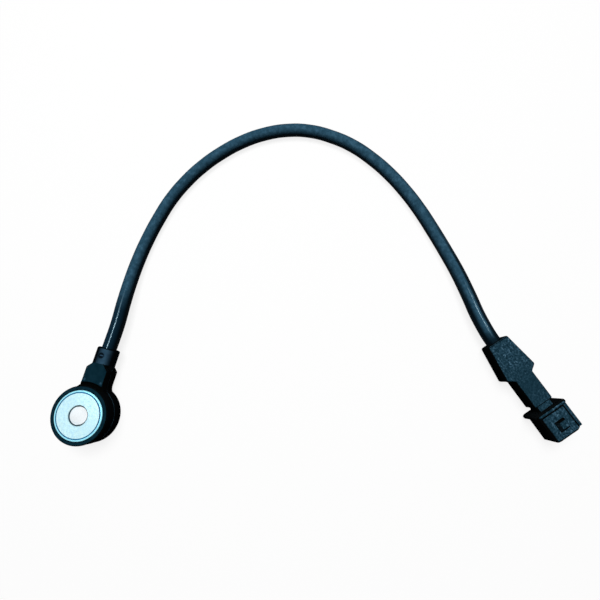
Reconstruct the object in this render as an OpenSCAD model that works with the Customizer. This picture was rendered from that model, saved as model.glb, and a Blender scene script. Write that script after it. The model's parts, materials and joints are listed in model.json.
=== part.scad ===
// Ring-type engine knock sensor with a fixed lead and a two-pole blade plug.
// The bolt bore is the Z axis and the bolt head's end of the sleeve is z = 0.
// The seat that presses on the engine block faces up, and the plug points along +X.

/* [Sleeve] */
// Bore for the clamping bolt
bore_d = 8.4; // [6.4:0.1:9]
// Chamfer at the bore's mouth in the seat
bore_chamfer = 0.8; // [0.3:0.1:1.2]
// Wall of the sleeve's tube
sleeve_wall = 1.8; // [1.5:0.1:2.2]
// Thickness of the seat flange
seat_t = 2.4; // [1.8:0.1:3]
// Width of the ring between the flat land and the edge of the flange, with its groove
rim_w = 1.4; // [1.2:0.1:3]
// Width of the turned groove round the land
groove_w = 0.5; // [0.2:0.05:0.6]
// Depth of the turned groove
groove_depth = 0.4; // [0.1:0.05:0.6]

/* [Sensing stack] */
// Width of the crystal ring, its mass and contacts, from hole to edge
ring_w = 3.5; // [3:0.1:4.2]
// Ledge of moulding under the edge of the seat flange
ledge_w = 1.45; // [1.2:0.05:2]
// How far the insulating washers stand out past the rings
washer_lip = 0.4; // [0.2:0.05:0.6]
// Wall of the insulating tube on the sleeve
tube_wall = 0.4; // [0.3:0.05:0.5]
// Thickness of each insulating washer
washer_t = 0.3; // [0.2:0.05:0.4]
// Thickness of each contact ring
contact_t = 0.3; // [0.2:0.05:0.4]
// Thickness of the crystal ring
piezo_t = 2.2; // [1.6:0.1:2.4]
// Height of the seismic mass
mass_h = 3.3; // [2.6:0.1:4.5]
// Height of the ring nut above the sleeve's lower end
floor_t = 2.5; // [1.8:0.1:3.5]
// Free height of the disc spring
spring_h = 0.9; // [0.7:0.05:1]
// Thickness of the disc spring's sheet
spring_t = 0.5; // [0.4:0.05:0.6]
// Height of the ring nut
nut_h = 1.9; // [1.4:0.1:2.4]
// How far the ring nut stays inside the edge of the rings
nut_step = 1; // [0.3:0.1:1.6]
// Spanner slots in the ring nut
nut_slots = 4; // [2:1:6]
// Width of the contact tabs
tab_w = 2.2; // [1.6:0.1:2.4]
// Distance of each contact tab from the middle of the neck
tab_x = 2.1; // [1.9:0.1:2.4]

/* [Housing] */
// Moulding round the seat flange
body_wall = 2.1; // [1.5:0.1:3]
// How far the seat stands out of the moulding
seat_proud = 0.4; // [0.2:0.05:0.8]
// How far the sleeve's other end stands out of the moulding
end_proud = 0.15; // [0.05:0.05:0.4]
// Rounding of the body's outer edges
body_round = 0.8; // [0.4:0.1:1.2]
// Turn of the neck about the bore, from the Y axis
neck_turn = 43; // [0:1:90]
// Width of the neck
neck_w = 11; // [10.6:0.1:13]
// How far the neck's underside lies above the body's
neck_drop_low = 1.65; // [1:0.05:2.5]
// How far the neck's upper side lies below the body's
neck_drop_top = 1.8; // [1:0.05:2.5]
// Distance of the neck's shoulders from the bore
shoulder_y = 22.7; // [20.5:0.1:24]
// Length of the neck's shoulders along it
shoulder_l = 2.8; // [2:0.1:4.5]
// Width of the neck's top edge
neck_top_w = 5.4; // [3:0.1:7]
// Wall of the round lead boss
boss_wall = 1.8; // [1.4:0.05:2.2]
// Length of the boss beyond the neck
boss_l = 7.8; // [6:0.1:9.5]
// Diameter of the round recess on the boss
dimple_d = 2.6; // [1.6:0.1:3.4]
// Depth of the recess on the boss
dimple_depth = 0.6; // [0.2:0.05:0.9]
// Radius of the hollow curve where the neck runs into the body
neck_fillet = 5.5; // [2:0.1:6]

/* [Lead] */
// Outside of the lead's jacket
lead_d = 7.1; // [6:0.1:7.5]
// Length of jacket held inside the boss
lead_grip = 9; // [6:0.1:10]
// Length of jacket held inside the plug
plug_grip = 8; // [6:0.1:9.5]
// Outside of each insulated core
core_d = 1.6; // [1.2:0.1:1.8]
// Wall of the crimp barrels on the cores
crimp_wall = 0.35; // [0.25:0.05:0.5]

/* [Plug boot] */
// Moulding over and under the lead in the boot
boot_wall = 1.15; // [1:0.05:1.6]
// Width at the lead
boot_w1 = 10.6; // [9.6:0.1:12]
// Greatest width
boot_w2 = 15.6; // [13:0.1:17]
// Wall of the slim part beside the crimps
slim_wall = 0.75; // [0.5:0.05:1.2]
// Distance of the greatest width from the boot's face
boot_x2 = 16.8; // [14:0.1:18]
// Length of the S from the greatest width to the slim part
s_l = 3; // [2:0.1:5]
// Length of the slim part
slim_l = 13.7; // [12:0.1:16]
// Bevel along the boot's edges
boot_bevel = 0.6; // [0.3:0.1:1]

/* [Plug shell] */
// Length of the shell's neck in front of the boot
stem_l = 2.5; // [1.5:0.1:4]
// Wall of the shell's neck beside the blades
stem_wall = 0.6; // [0.4:0.05:1]
// Height of the shell's neck
stem_h = 7.6; // [6:0.1:8.2]
// How far the flange stands out beyond the hood's sides
flange_side = 1.6; // [1:0.1:2.4]
// How far the flange stands out above and below the hood
flange_lip = 1.2; // [0.6:0.1:2]
// Thickness of the flange
flange_t = 1.7; // [1.5:0.1:2.4]
// Corner radius of the flange
flange_r = 2.2; // [1:0.1:3]
// Outside width of the hood
hood_w = 13.2; // [12.4:0.1:14]
// Outside height of the hood
hood_h = 12; // [11.2:0.1:12.8]
// Length of the hood in front of the flange
hood_l = 12.5; // [11:0.1:13.5]
// Wall of the hood
hood_wall = 1.2; // [0.9:0.05:1.4]
// Corner radius of the hood
hood_r = 1.5; // [1.3:0.1:2]
// Chamfer round the outside of the hood's mouth
hood_lip = 0.8; // [0.3:0.05:0.85]
// Length of the latch nub along the hood
nub_l = 5; // [3.6:0.1:6]
// Width of the latch nub
nub_w = 5; // [3.6:0.1:6]
// Height of the latch nub
nub_h = 1.1; // [0.5:0.1:1.2]
// Distance of the nub's middle from the flange
nub_x = 6.9; // [5:0.1:7.6]
// Width of the keying rib
rib_w = 1.3; // [0.6:0.1:1.5]
// Height of the keying rib
rib_h = 1.9; // [1.2:0.1:2.6]
// Distance of the keying rib from the hood's top
rib_drop = 0.8; // [0.4:0.1:1.4]

/* [Blades] */
// Distance between the two blades
blade_pitch = 5; // [4.4:0.1:5.4]
// Width of a blade
blade_w = 2.8; // [2.2:0.1:2.8]
// Thickness of a blade
blade_t = 0.8; // [0.6:0.05:1]
// Width of a blade's shank, behind the hood
shank_w = 1.6; // [1.2:0.1:1.8]
// Length of blade that stands in the hood
blade_l = 7; // [5:0.1:8]

/* [Hidden] */

$fn = 64;
// Running gap between pieces that are moulded or pressed together
fit = 0.05;
// A cut reaches this far past the face that it opens
past = 1;

// Diameters across the bore, from the bolt outwards
sleeve_d = bore_d + 2 * sleeve_wall;
tube_id = sleeve_d + 2 * fit;
tube_od = tube_id + 2 * tube_wall;
ring_id = tube_od + 2 * fit;
ring_d = ring_id + 2 * ring_w;
nut_d = ring_d - 2 * nut_step;
washer_d = ring_d + 2 * washer_lip;
cavity_d = washer_d + 2 * fit;
seat_d = cavity_d + 2 * ledge_w;
land_d = seat_d - 2 * rim_w;

// Places along the bore, from the nut up to the seat
nut_z = floor_t;
spring_z = nut_z + nut_h;
mass_z = spring_z + spring_h;
mass_washer_z = mass_z + mass_h;
mass_contact_z = mass_washer_z + washer_t;
piezo_z = mass_contact_z + contact_t;
seat_contact_z = piezo_z + piezo_t;
seat_washer_z = seat_contact_z + contact_t;
flange_z = seat_washer_z + washer_t;
sleeve_h = flange_z + seat_t;

// Body of the housing, its neck and its boss
body_d = seat_d + 2 * body_wall;
body_top = sleeve_h - seat_proud;
body_low = end_proud;
neck_low = body_low + neck_drop_low;
neck_h = body_top - neck_drop_top - neck_low;
neck_end = shoulder_y + shoulder_l;
boss_z = neck_low + neck_h / 2;
boss_d = lead_d + 2 * boss_wall;
boss_end = neck_end + boss_l;
lead_r = lead_d / 2;
crimp_d = core_d + 2 * crimp_wall;

// Wire pocket in the neck: its half width, floor, roof and end
pocket_w = tab_x + max(crimp_d, tab_w) / 2 + 0.3;
pocket_low = boss_z - crimp_d / 2 - 1;
pocket_top = boss_z + crimp_d / 2 + 1;
pocket_end = boss_end - lead_grip;
// The contact tabs run at this height, and end at the crimps
tab_z = boss_z - contact_t / 2;
tab_bend_y = cavity_d / 2 + 0.6;
crimp_y = tab_bend_y + 2.6;
crimp_l = 3;
// The cores leave the jacket this far from its middle
core_y = core_d / 2 + 0.1;

// Plug: its boot's face stands here, and its axis lies at half the flange's height
flange_w = hood_w + 2 * flange_side;
flange_h = hood_h + 2 * flange_lip;
plug_at = [77.5, 186, flange_h / 2];
boot_x3 = boot_x2 + s_l;
boot_l = boot_x3 + slim_l;
boot_t = lead_d + 2 * boot_wall;
stem_x = boot_l;
stem_w = blade_pitch + shank_w + 2 * stem_wall;
flange_x = stem_x + stem_l;
hood_x = flange_x + flange_t;
mouth_x = hood_x + hood_l;
floor_x = flange_x + flange_t / 2;
blade_tip_x = floor_x + blade_l;
plug_pocket_w = blade_pitch / 2 + crimp_d / 2 + 0.3;
plug_pocket_h = crimp_d + 2;
boot_w3 = 2 * (plug_pocket_w + slim_wall);
plug_crimp_x = stem_x - 10;
plug_crimp_l = 5;
// The shell's key fills the end of the boot's pocket
key_l = 3;
// The blades widen inside the flange, over this length
flare_l = 0.6;
flare_x = flange_x + 0.1;

// The lead leaves the boss along the neck and goes into the boot along X
out = [-sin(neck_turn), cos(neck_turn), 0];
exit = [out[0] * boss_end, out[1] * boss_end, boss_z];
straight = 13;
// Route of the lead, chosen by hand: down from the boss, round on the surface, up to the plug
route = [
    exit,
    exit + straight * out,
    [-39.6, 40.9, 6.3],
    [-48.8, 49.1, 4.9],
    [-57.7, 58.3, 3.9],
    [-65.5, 68.1, lead_r],
    [-72.5, 78.7, lead_r],
    [-78.6, 89.7, lead_r],
    [-83.2, 101.8, lead_r],
    [-86.1, 114.4, lead_r],
    [-87.2, 127.5, lead_r],
    [-86.5, 140.7, lead_r],
    [-83.6, 153.4, lead_r],
    [-78.1, 165.7, lead_r],
    [-70.2, 176.1, lead_r],
    [-60.2, 184.3, lead_r],
    [-49, 190.6, lead_r],
    [-36.9, 194.7, lead_r],
    [-24.5, 197.3, lead_r],
    [-11.5, 198.5, lead_r],
    [1.5, 198.5, lead_r],
    [14.5, 197.5, lead_r],
    [27.5, 196, 3.7],
    [40.1, 193.8, 4.7],
    [52.5, 190.7, 6],
    [plug_at[0] - straight, plug_at[1] + 1.5, plug_at[2] - 0.2],
    plug_at
];
lead_sides = 10;
core_sides = 16;

// A rod from one point to another
module rod(from, to, d) {
    v = to - from;
    flat = norm([v[0], v[1]]);
    translate(from)
        rotate([0, atan2(flat, v[2]), atan2(v[1], v[0])])
            cylinder(h = norm(v), d = d);
}

// A flat ring, standing on z
module ring(z, h, d, hole) {
    translate([0, 0, z])
        difference() {
            cylinder(h = h, d = d);
            translate([0, 0, -past]) cylinder(h = h + 2 * past, d = hole);
        }
}

// Walls through a list of rings that all have the same number of points, closed at both ends
module skin(rings) {
    n = len(rings[0]);
    last = len(rings) - 1;
    points = [for (r = rings) each r];
    walls = [
        for (i = [0:last - 1], j = [0:n - 1])
            [i * n + j, (i + 1) * n + j, (i + 1) * n + (j + 1) % n, i * n + (j + 1) % n]
    ];
    polyhedron(points, concat(
        [[for (j = [0:n - 1]) j]],
        walls,
        [[for (j = [0:n - 1]) last * n + n - 1 - j]]
    ));
}

// A round cable through a list of places: each ring is square to the way through it, and the
// first and the last ring are square to the directions given
function unit(v) = v / norm(v);
function way(stops, k, first, last) =
    k == 0 ? first
    : k == len(stops) - 1 ? last
    : unit(stops[k + 1] - stops[k - 1]);
function cable_ring(centre, along, r, sides) =
    let (side = unit(cross(along, [0, 0, 1])), up = cross(side, along)) [
        for (j = [0:sides - 1])
            let (a = 360 * j / sides)
                centre + r * (sin(a) * side - cos(a) * up)
    ];

module cable(stops, d, sides, first, last) {
    skin([for (k = [0:len(stops) - 1])
        cable_ring(stops[k], way(stops, k, first, last), d / 2, sides)]);
}

// Ring of a bar along X: a rectangle of these half sizes whose corners have radius r
function bar_ring(x, half_w, half_h, r) = [
    for (k = [0:3], a = [0:30:90])
        let (turn = 90 * k + a, y = (k == 0 || k == 3) ? 1 : -1, z = k < 2 ? 1 : -1)
            [x, y * (half_w - r) + r * cos(turn), z * (half_h - r) + r * sin(turn)]
];

// A rectangle with round corners, centred
module round_rect(w, h, r) {
    square([w - 2 * r, h], center = true);
    square([w, h - 2 * r], center = true);
    for (x = [-1, 1], y = [-1, 1])
        translate([x * (w / 2 - r), y * (h / 2 - r)]) circle(r = r);
}

// A bar of that section along X
module round_bar(x, l, w, h, r) {
    translate([x, 0, 0])
        rotate([90, 0, 90]) linear_extrude(l) round_rect(w, h, r);
}

// Turns the neck's side of a piece into place
module on_neck() {
    rotate([0, 0, neck_turn]) children();
}

module on_plug() {
    translate(plug_at) children();
}

// Right half of the neck's outline, from the bore: out of the body in a hollow curve, up its side,
// and over a shoulder that slopes to its top edge. The curve starts a little inside the body.
module half_neck_outline() {
    r = neck_fillet;
    sunk = 0.15;
    reach = body_d / 2 - sunk + r;
    curve_x = neck_w / 2 + r;
    curve_y = sqrt(pow(reach, 2) - pow(curve_x, 2));
    turn = atan2(curve_y, curve_x);
    steps = 8;
    curve = [
        for (k = [0:steps])
            let (a = 180 + turn * (1 - k / steps))
                [curve_x + r * cos(a), curve_y + r * sin(a)]
    ];
    polygon(concat([[0, 0]], curve,
        [[neck_w / 2, shoulder_y], [neck_top_w / 2, neck_end], [0, neck_end]]));
}

// Section of the moulded body, turned about the bore
module body_profile() {
    r = body_round;
    difference() {
        union() {
            translate([0, body_low]) square([body_d / 2 - r, body_top - body_low]);
            translate([0, body_low + r]) square([body_d / 2, body_top - body_low - 2 * r]);
            for (z = [body_low + r, body_top - r])
                translate([body_d / 2 - r, z]) circle(r = r);
        }
        // Recess round the sleeve's end, so that the bolt's washer bears on metal
        translate([0, body_low - past]) square([sleeve_d / 2 + 2.5, past + 0.5]);
    }
}

module housing() {
    color("#1b2328")
        difference() {
            union() {
                rotate_extrude() body_profile();
                on_neck() {
                    translate([0, 0, neck_low])
                        linear_extrude(neck_h) {
                            half_neck_outline();
                            mirror([1, 0]) half_neck_outline();
                        }
                    boss();
                }
            }
            // Room for the sleeve, the seat flange and the stack
            translate([0, 0, -past]) cylinder(h = nut_z + 2 * past, d = sleeve_d + 2 * fit);
            translate([0, 0, flange_z - fit]) cylinder(h = seat_t + past, d = seat_d + 2 * fit);
            translate([0, 0, nut_z - fit]) cylinder(h = flange_z - nut_z + fit, d = cavity_d);
            on_neck() {
                wire_pocket();
                rod([0, pocket_end - fit, boss_z], [0, boss_end + past, boss_z], lead_d + 2 * fit);
                translate([0, (neck_end + boss_end) / 2, boss_z + boss_d / 2 - dimple_depth])
                    cylinder(h = dimple_depth + past, d = dimple_d);
            }
        }
}

// Round boss for the lead, with a rounded edge at its face
module boss() {
    edge = 0.9;
    translate([0, shoulder_y - 1, boss_z])
        rotate([-90, 0, 0])
            rotate_extrude() {
                l = boss_end - shoulder_y + 1;
                square([boss_d / 2, l - edge]);
                square([boss_d / 2 - edge, l]);
                translate([boss_d / 2 - edge, l - edge]) circle(r = edge);
            }
}

// Hollow for the contact tabs, the crimps and the cores
module wire_pocket() {
    riser_y = ring_d / 2 - 1.5;
    riser_end = tab_bend_y + contact_t + 0.3;
    translate([-pocket_w, riser_y, pocket_low])
        cube([2 * pocket_w, riser_end - riser_y, flange_z - pocket_low]);
    translate([-pocket_w, riser_y, pocket_low])
        cube([2 * pocket_w, pocket_end - riser_y, pocket_top - pocket_low]);
}

// Turned and plated steel, with the bore, the seat flange and the land that touches the engine
module sleeve() {
    bore_r = bore_d / 2;
    c = bore_chamfer;
    seat_r = seat_d / 2;
    land_r = land_d / 2;
    rim_z = sleeve_h - 0.1;
    color("#cfe6ee")
        rotate_extrude()
            polygon([
                [bore_r, 0], [sleeve_d / 2, 0], [sleeve_d / 2, flange_z], [seat_r, flange_z],
                [seat_r, rim_z - 0.5], [seat_r - 0.5, rim_z], [land_r + groove_w, rim_z],
                [land_r + groove_w, sleeve_h - groove_depth], [land_r, sleeve_h - groove_depth],
                [land_r, sleeve_h], [bore_r + c, sleeve_h], [bore_r, sleeve_h - c]
            ]);
}

module stack_tube() {
    color("#d8cfa8") ring(spring_z, flange_z - spring_z, tube_od, tube_id);
}

module seat_insulator() {
    color("#b5833a") ring(seat_washer_z, washer_t, washer_d, ring_id);
}

module mass_insulator() {
    color("#b5833a") ring(mass_washer_z, washer_t, washer_d, ring_id);
}

// Contact ring whose tab steps down to the middle of the neck
module contact(z, side) {
    color("#c9a24a") {
        ring(z, contact_t, ring_d, ring_id);
        on_neck()
            translate([side * tab_x - tab_w / 2, 0, 0]) {
                root_y = ring_d / 2 - 1;
                translate([0, root_y, z])
                    cube([tab_w, tab_bend_y + contact_t - root_y, contact_t]);
                translate([0, tab_bend_y, min(z, tab_z)])
                    cube([tab_w, contact_t, abs(z - tab_z) + contact_t]);
                translate([0, tab_bend_y, tab_z])
                    cube([tab_w, crimp_y - tab_bend_y, contact_t]);
            }
    }
}

module seat_contact() {
    contact(seat_contact_z, -1);
}

module mass_contact() {
    contact(mass_contact_z, 1);
}

module piezo_ring() {
    color("#d9d4c5") ring(piezo_z, piezo_t, ring_d, ring_id);
}

// Heavy ring with both outer edges chamfered
module seismic_mass() {
    c = 0.5;
    color("#8d8f92")
        rotate_extrude()
            translate([0, mass_z])
                polygon([[ring_id / 2, 0], [ring_d / 2 - c, 0], [ring_d / 2, c],
                    [ring_d / 2, mass_h - c], [ring_d / 2 - c, mass_h], [ring_id / 2, mass_h]]);
}

// Dished washer: its bore bears on the mass and its rim on the nut
module disc_spring() {
    color("#6f7478")
        rotate_extrude()
            translate([0, spring_z])
                polygon([[ring_id / 2, spring_h - spring_t], [nut_d / 2, 0],
                    [nut_d / 2, spring_t], [ring_id / 2, spring_h]]);
}

module ring_nut() {
    slot_w = 3;
    slot_depth = 1.3;
    color("#a9b0b4")
        difference() {
            ring(nut_z, nut_h, nut_d, sleeve_d + 2 * fit);
            for (k = [0:nut_slots - 1])
                rotate([0, 0, k * 360 / nut_slots])
                    translate([nut_d / 2 - slot_depth, -slot_w / 2, nut_z - past])
                        cube([slot_depth + past, slot_w, nut_h + 2 * past]);
        }
}

// The two barrels that join the contact tabs to the cores
module joint_crimps() {
    color("#b9bcc0")
        on_neck()
            for (side = [-1, 1])
                difference() {
                    rod([side * tab_x, crimp_y, boss_z], [side * tab_x, crimp_y + crimp_l, boss_z],
                        crimp_d);
                    rod([side * tab_x, crimp_y + 0.6, boss_z],
                        [side * tab_x, crimp_y + crimp_l + past, boss_z], core_d + 2 * fit);
                }
}

module head_core(side, shade) {
    color(shade)
        on_neck()
            cable([
                [side * tab_x, crimp_y + 0.6 + fit, boss_z],
                [side * tab_x, crimp_y + crimp_l + 0.5, boss_z],
                [side * core_y, pocket_end - 1, boss_z],
                [side * core_y, pocket_end, boss_z]
            ], core_d, core_sides, [0, 1, 0], [0, 1, 0]);
}

module signal_core_head() {
    head_core(-1, "#e9e4d6");
}

module return_core_head() {
    head_core(1, "#3c4247");
}

// The lead's jacket, where the boss holds it
module lead_end_head() {
    color("#14191d")
        on_neck() rod([0, pocket_end, boss_z], [0, boss_end, boss_z], lead_d);
}

// The free lead along its route, square to the boss and to the boot at its ends
module lead() {
    color("#14191d") cable(route, lead_d, lead_sides, out, [1, 0, 0]);
}

// The lead's jacket, where the boot holds it
module lead_end_plug() {
    color("#14191d") on_plug() rod([0, 0, 0], [plug_grip, 0, 0], lead_d);
}

module plug_core(side, shade) {
    color(shade)
        on_plug()
            cable([
                [plug_grip, side * core_y, 0],
                [plug_grip + 1, side * core_y, 0],
                [plug_crimp_x - 1, side * blade_pitch / 2, 0],
                [plug_crimp_x + plug_crimp_l - 1 - fit, side * blade_pitch / 2, 0]
            ], core_d, core_sides, [1, 0, 0], [1, 0, 0]);
}

module signal_core_plug() {
    plug_core(-1, "#e9e4d6");
}

module return_core_plug() {
    plug_core(1, "#3c4247");
}

// Half the boot's width at x: it widens from the lead, then falls in an S to the slim part
function boot_half(x) =
    x <= boot_x2 ? (boot_w1 + (boot_w2 - boot_w1) * x / boot_x2) / 2
    : x >= boot_x3 ? boot_w3 / 2
    : (boot_w3 + (boot_w2 - boot_w3) * (1 + cos(180 * (x - boot_x2) / (boot_x3 - boot_x2))) / 2) / 2;

module boot() {
    b = boot_bevel;
    steps = 8;
    stations = concat(
        [0.3, 1, boot_x2 / 2],
        [for (k = [0:steps]) boot_x2 + (boot_x3 - boot_x2) * k / steps],
        [(boot_x3 + boot_l) / 2, boot_l - 0.3]
    );
    color("#2a3a44")
        on_plug()
            difference() {
                skin(concat(
                    [bar_ring(0, boot_half(0) - b, boot_t / 2 - b, b)],
                    [for (x = stations) bar_ring(x, boot_half(x), boot_t / 2, b)],
                    [bar_ring(boot_l, boot_half(boot_l) - b / 2, boot_t / 2 - b / 2, b)]
                ));
                rod([-past, 0, 0], [plug_grip + fit, 0, 0], lead_d + 2 * fit);
                translate([plug_grip, -plug_pocket_w, -plug_pocket_h / 2])
                    cube([stem_x - plug_grip + past, 2 * plug_pocket_w, plug_pocket_h]);
            }
}

// Outside of the hood, with a chamfer round its mouth
module hood() {
    lip_x = mouth_x - hood_lip;
    skin([
        bar_ring(floor_x, hood_w / 2, hood_h / 2, hood_r),
        bar_ring(lip_x, hood_w / 2, hood_h / 2, hood_r),
        bar_ring(mouth_x, hood_w / 2 - hood_lip, hood_h / 2 - hood_lip, hood_r - hood_lip)
    ]);
}

// Raised catch for the mating housing's clip, with sloping sides
module nub() {
    top_l = nub_l - 2;
    top_w = nub_w - 1.8;
    translate([hood_x + nub_x, 0, hood_h / 2])
        hull() {
            translate([-nub_l / 2, -nub_w / 2, -0.5]) cube([nub_l, nub_w, 0.5]);
            translate([-top_l / 2, nub_w / 2 - 0.3 - top_w, 0]) cube([top_l, top_w, nub_h]);
        }
}

// Slot for a blade through the shell, from one x to another
module blade_slot(side, x1, x2, w) {
    translate([x1, side * blade_pitch / 2 - w / 2 - fit, -blade_t / 2 - fit])
        cube([x2 - x1, w + 2 * fit, blade_t + 2 * fit]);
}

// Flange, hood and stem, with the key that the boot is moulded on
module plug_shell() {
    overlap = flange_t / 2;
    color("#2a3a44")
        on_plug()
            difference() {
                union() {
                    round_bar(stem_x - key_l, key_l + overlap, 2 * (plug_pocket_w - fit),
                        plug_pocket_h - 2 * fit, 0.5);
                    round_bar(stem_x, stem_l + overlap, stem_w, stem_h, 1);
                    round_bar(flange_x, flange_t, flange_w, flange_h, flange_r);
                    hood();
                    nub();
                    translate([floor_x, hood_w / 2 - 0.5, hood_h / 2 - rib_drop - rib_h])
                        cube([mouth_x - hood_lip - floor_x, rib_w + 0.5, rib_h]);
                }
                round_bar(floor_x, mouth_x - floor_x + past, hood_w - 2 * hood_wall,
                    hood_h - 2 * hood_wall, 0.6);
                for (side = [-1, 1]) {
                    blade_slot(side, stem_x - key_l - past, flare_x, shank_w);
                    blade_slot(side, flare_x - fit, floor_x + past, blade_w);
                }
            }
}

// Blade with a bevelled tip, a slim shank and the barrel that is crimped on its core
module blade(side) {
    shank_x = plug_crimp_x + plug_crimp_l - 0.5;
    wide_x = flare_x + flare_l;
    tip = 0.8;
    color("#c8ccd0")
        on_plug()
            translate([0, side * blade_pitch / 2, 0]) {
                translate([0, 0, -blade_t / 2])
                    linear_extrude(blade_t)
                        polygon([
                            [shank_x, -shank_w / 2], [flare_x, -shank_w / 2],
                            [wide_x, -blade_w / 2],
                            [blade_tip_x - tip, -blade_w / 2], [blade_tip_x, -blade_w / 2 + tip],
                            [blade_tip_x, blade_w / 2 - tip], [blade_tip_x - tip, blade_w / 2],
                            [wide_x, blade_w / 2], [flare_x, shank_w / 2],
                            [shank_x, shank_w / 2]
                        ]);
                difference() {
                    rod([plug_crimp_x, 0, 0], [plug_crimp_x + plug_crimp_l, 0, 0], crimp_d);
                    rod([plug_crimp_x - past, 0, 0], [plug_crimp_x + plug_crimp_l - 1, 0, 0],
                        core_d + 2 * fit);
                }
            }
}

module signal_blade() {
    blade(-1);
}

module return_blade() {
    blade(1);
}

housing();
sleeve();
stack_tube();
seat_insulator();
seat_contact();
piezo_ring();
mass_contact();
mass_insulator();
seismic_mass();
disc_spring();
ring_nut();
joint_crimps();
signal_core_head();
return_core_head();
lead_end_head();
lead();
lead_end_plug();
signal_core_plug();
return_core_plug();
boot();
plug_shell();
signal_blade();
return_blade();
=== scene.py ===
# Looks of the engine knock sensor: its camera and light, the lead, the mouldings, the turned
# sleeve, and the finish of every piece. Lengths are in millimetres, and MM turns them to metres;
# only the lamps and the table are placed in metres.
import json
from math import atan2, cos, degrees, pi, radians, sin, sqrt

import bmesh
import bpy
from mathutils import Matrix, Vector


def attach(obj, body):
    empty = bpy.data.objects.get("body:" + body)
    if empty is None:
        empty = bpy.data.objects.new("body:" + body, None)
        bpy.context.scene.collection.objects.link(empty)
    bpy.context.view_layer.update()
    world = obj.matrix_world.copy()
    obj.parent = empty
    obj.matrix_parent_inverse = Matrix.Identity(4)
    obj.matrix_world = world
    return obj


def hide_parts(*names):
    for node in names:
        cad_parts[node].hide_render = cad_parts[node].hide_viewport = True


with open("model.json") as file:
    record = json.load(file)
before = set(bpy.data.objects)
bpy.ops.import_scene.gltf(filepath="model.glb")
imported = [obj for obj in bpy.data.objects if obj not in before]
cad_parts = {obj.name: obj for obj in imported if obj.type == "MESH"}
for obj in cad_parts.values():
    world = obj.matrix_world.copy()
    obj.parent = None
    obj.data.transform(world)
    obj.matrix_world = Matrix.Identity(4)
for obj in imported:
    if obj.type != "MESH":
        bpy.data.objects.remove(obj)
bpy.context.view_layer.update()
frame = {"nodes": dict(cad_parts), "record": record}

MM = 0.001

# Modelling, in metres: points closer than MERGE become one, and a point within ON_PLANE of a
# plane counts as on it
MERGE = 1e-6
ON_PLANE = 1e-5
# In millimetres: an edge within SLACK of a plane counts as on it, and a cutting body reaches
# PAST beyond the surface
SLACK = 0.1
PAST = 1.0

# Sleeve
BORE_R = 4.2
SLEEVE_R = 6.0
SLEEVE_H = 14.4
SEAT_R = 11.9
SEAT_T = 2.4
LAND_R = 10.5
GROOVE_W = 0.5
GROOVE_DEPTH = 0.4
GROOVE_BREAK = 0.05
LAND_BREAK = 0.08
RING_DROP = 0.1
SEAT_ROUND = 0.5
SLEEVE_BREAK = 0.2
BORE_BREAK = 0.15
MOUTH_CHAMFER = 0.8

# Housing
FIT = 0.05
BODY_R = 14.0
BODY_LOW = 0.15
BODY_TOP = 14.0
BODY_ROUND = 0.8
BODY_BREAK = 0.2
CAVITY_R = 10.45
CAVITY_LOW = 2.45
RECESS_R = 8.5
RECESS_DEPTH = 0.5
NECK_TURN = 43
ROOT_Y = 11.0
NECK_W = 11.0
NECK_LOW = 1.8
NECK_TOP = 12.2
SHOULDER_Y = 22.7
NECK_END = 25.5
NECK_TOP_W = 5.4
PLATE_ROUND = 0.45
BOSS_R = 5.35
BOSS_Z = 7.0
BOSS_END = 33.3
BOSS_ROUND = 0.9
DIMPLE_R = 1.3
DIMPLE_DEPTH = 0.6
GATE_L = 1.8
GATE_W = 0.4
NECK_FILLET = 5.5
FILLET_SINK = 0.15
FOOT_W = 2.0
FOOT_DEPTH = 1.0
PIN_R = 0.7
PIN_DEPTH = 0.15
PIN_AT = (4.3, 16.6)
PARTING_Z = 7.07
PARTING_RIDGE = 0.06
POCKET_W = 3.55
POCKET_LOW = 4.85
POCKET_TOP = 9.15
POCKET_END = 24.3
RISER_Y = 8.5
RISER_END = CAVITY_R + 1.2

# Lead
LEAD_R = 3.55

# Plug, along X from its boot's face
PLUG_AT = (77.5, 186, 7.2)
BOOT_T = 9.4
BOOT_W1 = 10.6
BOOT_W2 = 15.6
BOOT_W3 = 9.4
BOOT_X2 = 16.8
BOOT_X3 = 19.8
BOOT_L = 33.5
BOOT_FACE_ROUND = 0.9
BOOT_END_ROUND = 0.75
BOOT_EDGE_ROUND = 0.45
PLUG_GRIP = 8.0
PLUG_POCKET_W = 3.95
PLUG_POCKET_H = 4.3
KEY_L = 3.0
KEY_ROUND = 0.5
STEM_L = 2.5
STEM_W = 7.8
STEM_H = 7.6
STEM_ROUND = 1.0
FLANGE_X = BOOT_L + STEM_L
FLANGE_W = 16.4
FLANGE_H = 14.4
FLANGE_T = 1.7
FLANGE_ROUND = 2.2
FLANGE_EDGE_ROUND = 0.7
FLOOR_X = FLANGE_X + FLANGE_T / 2
HOOD_X = FLANGE_X + FLANGE_T
HOOD_W = 13.2
HOOD_H = 12.0
HOOD_L = 12.5
HOOD_WALL = 1.2
HOOD_ROUND = 1.5
HOOD_INNER_ROUND = 0.6
HOOD_LIP = 0.8
MOUTH_X = HOOD_X + HOOD_L
NUB_X = 6.9
NUB_L = 5.0
NUB_W = 5.0
NUB_H = 1.1
NUB_TOP_L = 3.0
NUB_TOP_W = 3.2
NUB_SIDE = 0.3
NUB_ROUND = 0.2
RIB_W = 1.3
RIB_H = 1.9
RIB_DROP = 0.8
RIB_ROUND = 0.25
RIB_GROOVE_IN = 0.75
RIB_GROOVE_DROP = 0.05
RIB_GROOVE_R = 0.4
ROOT_GROOVE = 0.35
BLADE_PITCH = 5.0
BLADE_W = 2.8
BLADE_T = 0.8
SHANK_W = 1.6
FLARE_X = FLANGE_X + 0.1

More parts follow.
